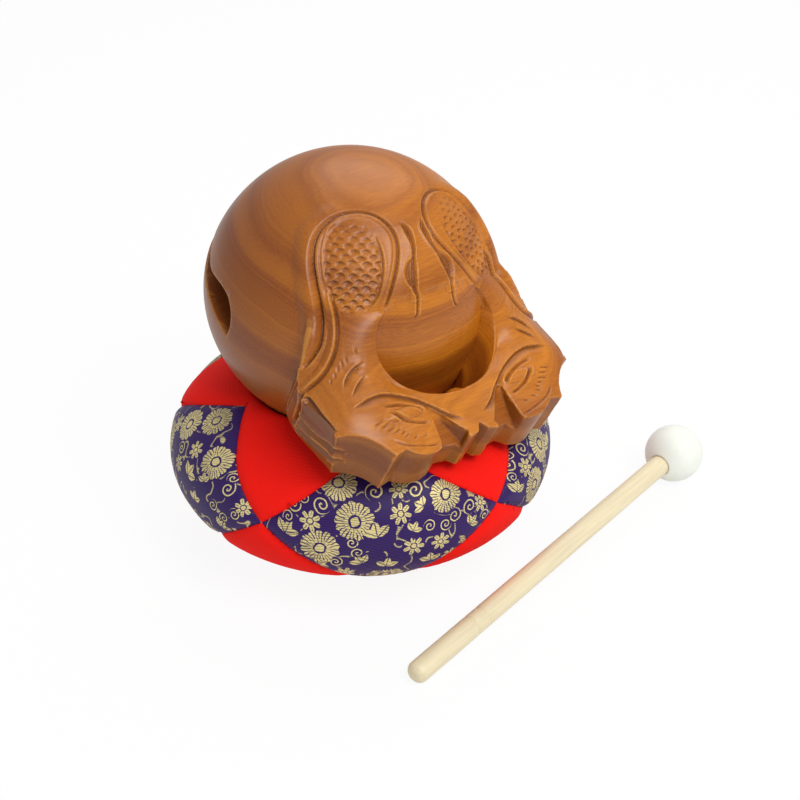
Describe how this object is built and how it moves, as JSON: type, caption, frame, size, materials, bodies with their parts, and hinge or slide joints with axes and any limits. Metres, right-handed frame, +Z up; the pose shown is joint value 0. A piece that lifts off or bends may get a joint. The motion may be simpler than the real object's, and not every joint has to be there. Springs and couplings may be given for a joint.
{
  "type": "mokugyo wooden fish",
  "caption": "Hollow carved wooden slit drum with a twin-headed handle, resting on a round patchwork cushion, with its rubber-headed mallet lying in front.",
  "frame": {"origin": "centre of the cushion's base, on the floor", "axes": "+Z up; the drum's handle points towards -Y and its slit faces +Y"},
  "size_m": [0.226, 0.1922, 0.1657],
  "materials": {
    "carved_wood": "oiled and polished, warm reddish brown",
    "brocade": "purple satin woven with gold flowers",
    "red_cloth": "plain vermilion satin",
    "filling": "raw cotton",
    "stick_wood": "sanded bare beech",
    "ball_rubber": "smooth matt white"
  },
  "bodies": {
    "cushion": {"cushion_filling": "filling", "brocade_panel_1": "brocade", "brocade_panel_2": "brocade", "brocade_panel_3": "brocade", "brocade_panel_4": "brocade", "brocade_panel_5": "brocade", "upper_red_panel_1": "red_cloth", "upper_red_panel_2": "red_cloth", "upper_red_panel_3": "red_cloth", "upper_red_panel_4": "red_cloth", "upper_red_panel_5": "red_cloth", "lower_red_panel_1": "red_cloth", "lower_red_panel_2": "red_cloth", "lower_red_panel_3": "red_cloth", "lower_red_panel_4": "red_cloth", "lower_red_panel_5": "red_cloth"},
    "bell": {"bell_body": "carved_wood"},
    "mallet": {"mallet_stick": "stick_wood", "mallet_head": "ball_rubber"}
  },
  "joints": [
    {"name": "bell_lift", "type": "slide", "parent": "cushion", "child": "bell", "axis": [0, 0, 1], "range_m": [0, 0.12]},
    {"name": "mallet_lift", "type": "slide", "parent": "cushion", "child": "mallet", "axis": [0.0763, -0.3334, 0.9397], "range_m": [0, 0.15]}
  ]
}
